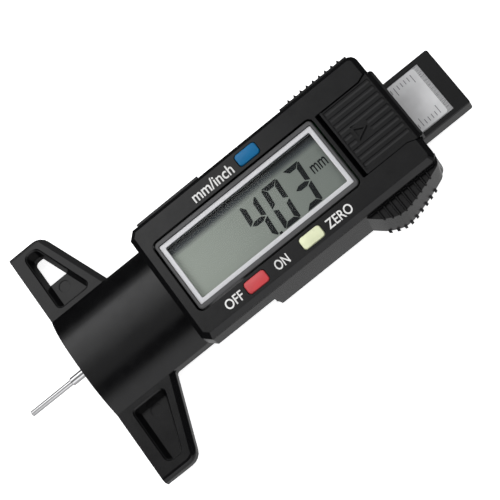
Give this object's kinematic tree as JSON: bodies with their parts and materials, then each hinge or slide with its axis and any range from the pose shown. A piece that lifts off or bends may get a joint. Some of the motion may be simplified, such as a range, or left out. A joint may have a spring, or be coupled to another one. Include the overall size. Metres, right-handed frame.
{
  "type": "tire tread gauge",
  "caption": "Digital tread depth gauge: a T-shaped base with a flat beam, and a sliding display carriage that pushes a thin steel rod out of the measuring face.",
  "frame": {"origin": "middle of the bounding box in X and Y, on the flat back of the carriage", "axes": "+X from the measuring face to the beam's tail, which is the reading direction of the display; +Y towards the unit button; +Z out of the display"},
  "size_m": [0.1284, 0.07, 0.0141],
  "materials": {
    "case_plastic": "satin moulded ABS",
    "bezel_plastic": "satin grey ring",
    "trim_silver": "silver painted frame",
    "display_lens": "clear acrylic",
    "display_glass": "grey-green liquid crystal cell",
    "zebra_rubber": "layered elastomer",
    "board_laminate": "solder mask",
    "chip_epoxy": "moulded epoxy",
    "steel": "ground stainless steel",
    "plated_steel": "nickel plate",
    "brass": "turned",
    "strip_steel": "rolled strip",
    "label_film": "printed silver film",
    "blue_button": "moulded in colour",
    "red_button": "moulded in colour",
    "cream_button": "moulded in colour"
  },
  "bodies": {
    "frame": {"beam_frame": "case_plastic", "rod_bush": "brass", "scale_strip": "strip_steel", "scale_label": "label_film"},
    "carriage": {"front_cover": "case_plastic", "slider_housing": "case_plastic", "rear_cover": "case_plastic", "lcd_bezel": "bezel_plastic", "lcd_trim": "trim_silver", "lcd_window": "display_lens", "lcd_panel": "display_glass", "zebra_strip_upper": "zebra_rubber", "zebra_strip_lower": "zebra_rubber", "main_board": "board_laminate", "controller_chip": "chip_epoxy", "battery_contact_negative": "plated_steel", "battery_contact_positive": "plated_steel", "button_cell": "plated_steel", "gib_spring": "steel", "depth_rod": "steel", "rod_clamp": "brass", "rod_clamp_screw": "steel", "unit_key_dome": "plated_steel", "power_key_dome": "plated_steel", "zero_key_dome": "plated_steel", "case_screw_1": "steel", "case_screw_2": "steel", "case_screw_3": "steel", "case_screw_4": "steel"},
    "unit_button": {"unit_button": "blue_button"},
    "power_button": {"power_button": "red_button"},
    "zero_button": {"zero_button": "cream_button"},
    "battery_cover": {"battery_cover": "case_plastic"}
  },
  "joints": [
    {"name": "depth_slide", "type": "slide", "parent": "frame", "child": "carriage", "axis": [-1, 0, 0], "range_m": [-0.0171, 0.0083]},
    {"name": "unit_press", "type": "slide", "parent": "carriage", "child": "unit_button", "axis": [0, 0, -1], "range_m": [0, 0.0005], "stiffness_N_per_m": 30},
    {"name": "power_press", "type": "slide", "parent": "carriage", "child": "power_button", "axis": [0, 0, -1], "range_m": [0, 0.0005], "stiffness_N_per_m": 30},
    {"name": "zero_press", "type": "slide", "parent": "carriage", "child": "zero_button", "axis": [0, 0, -1], "range_m": [0, 0.0005], "stiffness_N_per_m": 30},
    {"name": "battery_cover_slide", "type": "slide", "parent": "carriage", "child": "battery_cover", "axis": [1, 0, 0], "range_m": [0, 0.017]}
  ]
}
